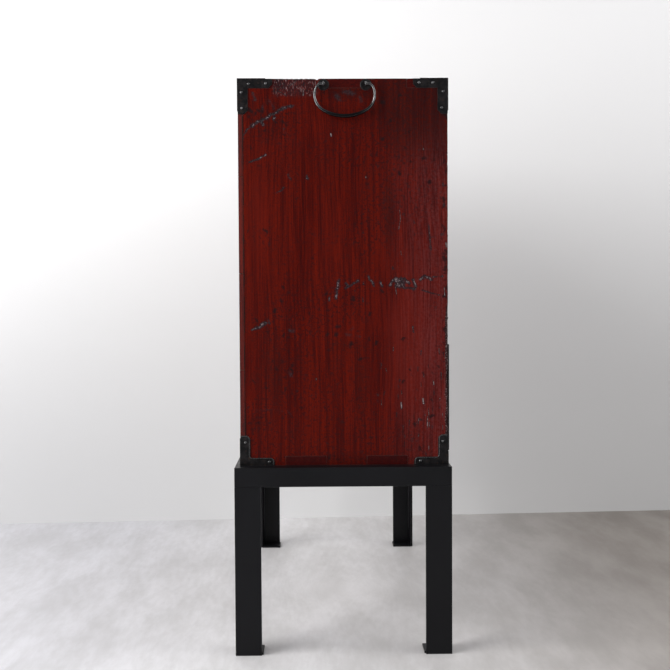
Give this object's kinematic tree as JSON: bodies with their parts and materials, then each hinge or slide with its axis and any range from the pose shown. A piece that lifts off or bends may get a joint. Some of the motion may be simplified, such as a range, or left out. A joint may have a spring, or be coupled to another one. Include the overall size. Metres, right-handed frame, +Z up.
{
  "type": "clothing chest",
  "caption": "Upright red-lacquered clothing chest with drawers, a small hinged cupboard door, iron bail handles and corner irons, standing on a welded black angle-steel stand.",
  "frame": {"origin": "bottom centre of the whole object's bounding box, on the floor", "axes": "+X along the chest's width, -Y is the front with the drawers and the door, +Z up; mm in the source, metres in the row"},
  "size_m": [1.067, 0.4839, 1.2512],
  "materials": {
    "red_lacquer": "aged transparent red lacquer over straight-grained wood, worn at the edges",
    "bare_wood": "plain aged paulownia, unfinished",
    "black_iron": "forged iron, blackened, slightly rusty",
    "stand_black": "satin black paint on welded steel angle"
  },
  "bodies": {
    "root": {"stand_leg_front_left": "stand_black", "stand_leg_front_right": "stand_black", "stand_leg_back_left": "stand_black", "stand_leg_back_right": "stand_black", "stand_long_rails": "stand_black", "stand_end_rails": "stand_black", "stand_foot_plates": "stand_black", "side_board_left": "red_lacquer", "side_board_right": "red_lacquer", "top_board": "red_lacquer", "bottom_board": "red_lacquer", "back_boards": "bare_wood", "tier_rail_lower": "red_lacquer", "tier_rail_middle": "red_lacquer", "tier_rail_upper": "red_lacquer", "small_drawer_rail": "red_lacquer", "dust_panels": "bare_wood", "divider_board": "bare_wood", "cupboard_shelf": "bare_wood", "corner_irons_left": "black_iron", "corner_irons_right": "black_iron", "corner_iron_nails": "black_iron", "frame_straps": "black_iron", "frame_strap_nails": "black_iron", "end_handle_eyes_left": "black_iron", "end_handle_eyes_right": "black_iron", "door_hinge_plate": "black_iron", "door_hinge_pins": "black_iron"},
    "end_bail_left": {"end_bail_left": "black_iron"},
    "end_bail_right": {"end_bail_right": "black_iron"},
    "drawer_1": {"drawer_1_front": "red_lacquer", "drawer_1_box": "bare_wood", "drawer_1_irons": "black_iron", "drawer_1_lock": "black_iron"},
    "drawer_1_bail_left": {"drawer_1_bail_left": "black_iron"},
    "drawer_1_bail_right": {"drawer_1_bail_right": "black_iron"},
    "drawer_2": {"drawer_2_front": "red_lacquer", "drawer_2_box": "bare_wood", "drawer_2_irons": "black_iron", "drawer_2_lock": "black_iron"},
    "drawer_2_bail_left": {"drawer_2_bail_left": "black_iron"},
    "drawer_2_bail_right": {"drawer_2_bail_right": "black_iron"},
    "drawer_3": {"drawer_3_front": "red_lacquer", "drawer_3_box": "bare_wood", "drawer_3_irons": "black_iron", "drawer_3_lock": "black_iron"},
    "drawer_3_bail_left": {"drawer_3_bail_left": "black_iron"},
    "drawer_3_bail_right": {"drawer_3_bail_right": "black_iron"},
    "small_drawer_1": {"small_drawer_1_front": "red_lacquer", "small_drawer_1_box": "bare_wood", "small_drawer_1_irons": "black_iron"},
    "small_drawer_1_bail": {"small_drawer_1_bail": "black_iron"},
    "small_drawer_2": {"small_drawer_2_front": "red_lacquer", "small_drawer_2_box": "bare_wood", "small_drawer_2_irons": "black_iron"},
    "small_drawer_2_bail": {"small_drawer_2_bail": "black_iron"},
    "door": {"door_panel": "red_lacquer", "door_hinge_straps": "black_iron", "door_irons": "black_iron", "door_lock": "black_iron"}
  },
  "joints": [
    {"name": "drawer_1_slide", "type": "slide", "parent": "root", "child": "drawer_1", "axis": [0, -1, 0], "range_m": [0, 0.33]},
    {"name": "drawer_2_slide", "type": "slide", "parent": "root", "child": "drawer_2", "axis": [0, -1, 0], "range_m": [0, 0.33]},
    {"name": "drawer_3_slide", "type": "slide", "parent": "root", "child": "drawer_3", "axis": [0, -1, 0], "range_m": [0, 0.33]},
    {"name": "small_drawer_1_slide", "type": "slide", "parent": "root", "child": "small_drawer_1", "axis": [0, -1, 0], "range_m": [0, 0.33]},
    {"name": "small_drawer_2_slide", "type": "slide", "parent": "root", "child": "small_drawer_2", "axis": [0, -1, 0], "range_m": [0, 0.33]},
    {"name": "door_hinge", "type": "hinge", "parent": "root", "child": "door", "pos_m": [-0.48, -0.22445, 0.557], "axis": [0, 0, -1], "range_deg": [0, 105]},
    {"name": "end_bail_left_swing", "type": "hinge", "parent": "root", "child": "end_bail_left", "pos_m": [-0.512, -0.00115, 1.237], "axis": [0, 1, 0], "range_deg": [-5, 180]},
    {"name": "end_bail_right_swing", "type": "hinge", "parent": "root", "child": "end_bail_right", "pos_m": [0.512, -0.00115, 1.237], "axis": [0, -1, 0], "range_deg": [-5, 180]},
    {"name": "drawer_1_bail_left_swing", "type": "hinge", "parent": "drawer_1", "child": "drawer_1_bail_left", "pos_m": [-0.25, -0.23665, 1.16717], "axis": [-1, 0, 0], "range_deg": [-8, 180]},
    {"name": "drawer_1_bail_right_swing", "type": "hinge", "parent": "drawer_1", "child": "drawer_1_bail_right", "pos_m": [0.25, -0.23665, 1.16717], "axis": [-1, 0, 0], "range_deg": [-8, 180]},
    {"name": "drawer_2_bail_left_swing", "type": "hinge", "parent": "drawer_2", "child": "drawer_2_bail_left", "pos_m": [-0.25, -0.23665, 0.9855], "axis": [-1, 0, 0], "range_deg": [-8, 180]},
    {"name": "drawer_2_bail_right_swing", "type": "hinge", "parent": "drawer_2", "child": "drawer_2_bail_right", "pos_m": [0.25, -0.23665, 0.9855], "axis": [-1, 0, 0], "range_deg": [-8, 180]},
    {"name": "drawer_3_bail_left_swing", "type": "hinge", "parent": "drawer_3", "child": "drawer_3_bail_left", "pos_m": [-0.25, -0.23665, 0.80383], "axis": [-1, 0, 0], "range_deg": [-8, 180]},
    {"name": "drawer_3_bail_right_swing", "type": "hinge", "parent": "drawer_3", "child": "drawer_3_bail_right", "pos_m": [0.25, -0.23665, 0.80383], "axis": [-1, 0, 0], "range_deg": [-8, 180]},
    {"name": "small_drawer_1_bail_swing", "type": "hinge", "parent": "small_drawer_1", "child": "small_drawer_1_bail", "pos_m": [0.193, -0.23665, 0.64325], "axis": [-1, 0, 0], "range_deg": [-8, 180]},
    {"name": "small_drawer_2_bail_swing", "type": "hinge", "parent": "small_drawer_2", "child": "small_drawer_2_bail", "pos_m": [0.193, -0.23665, 0.50775], "axis": [-1, 0, 0], "range_deg": [-8, 180]}
  ]
}
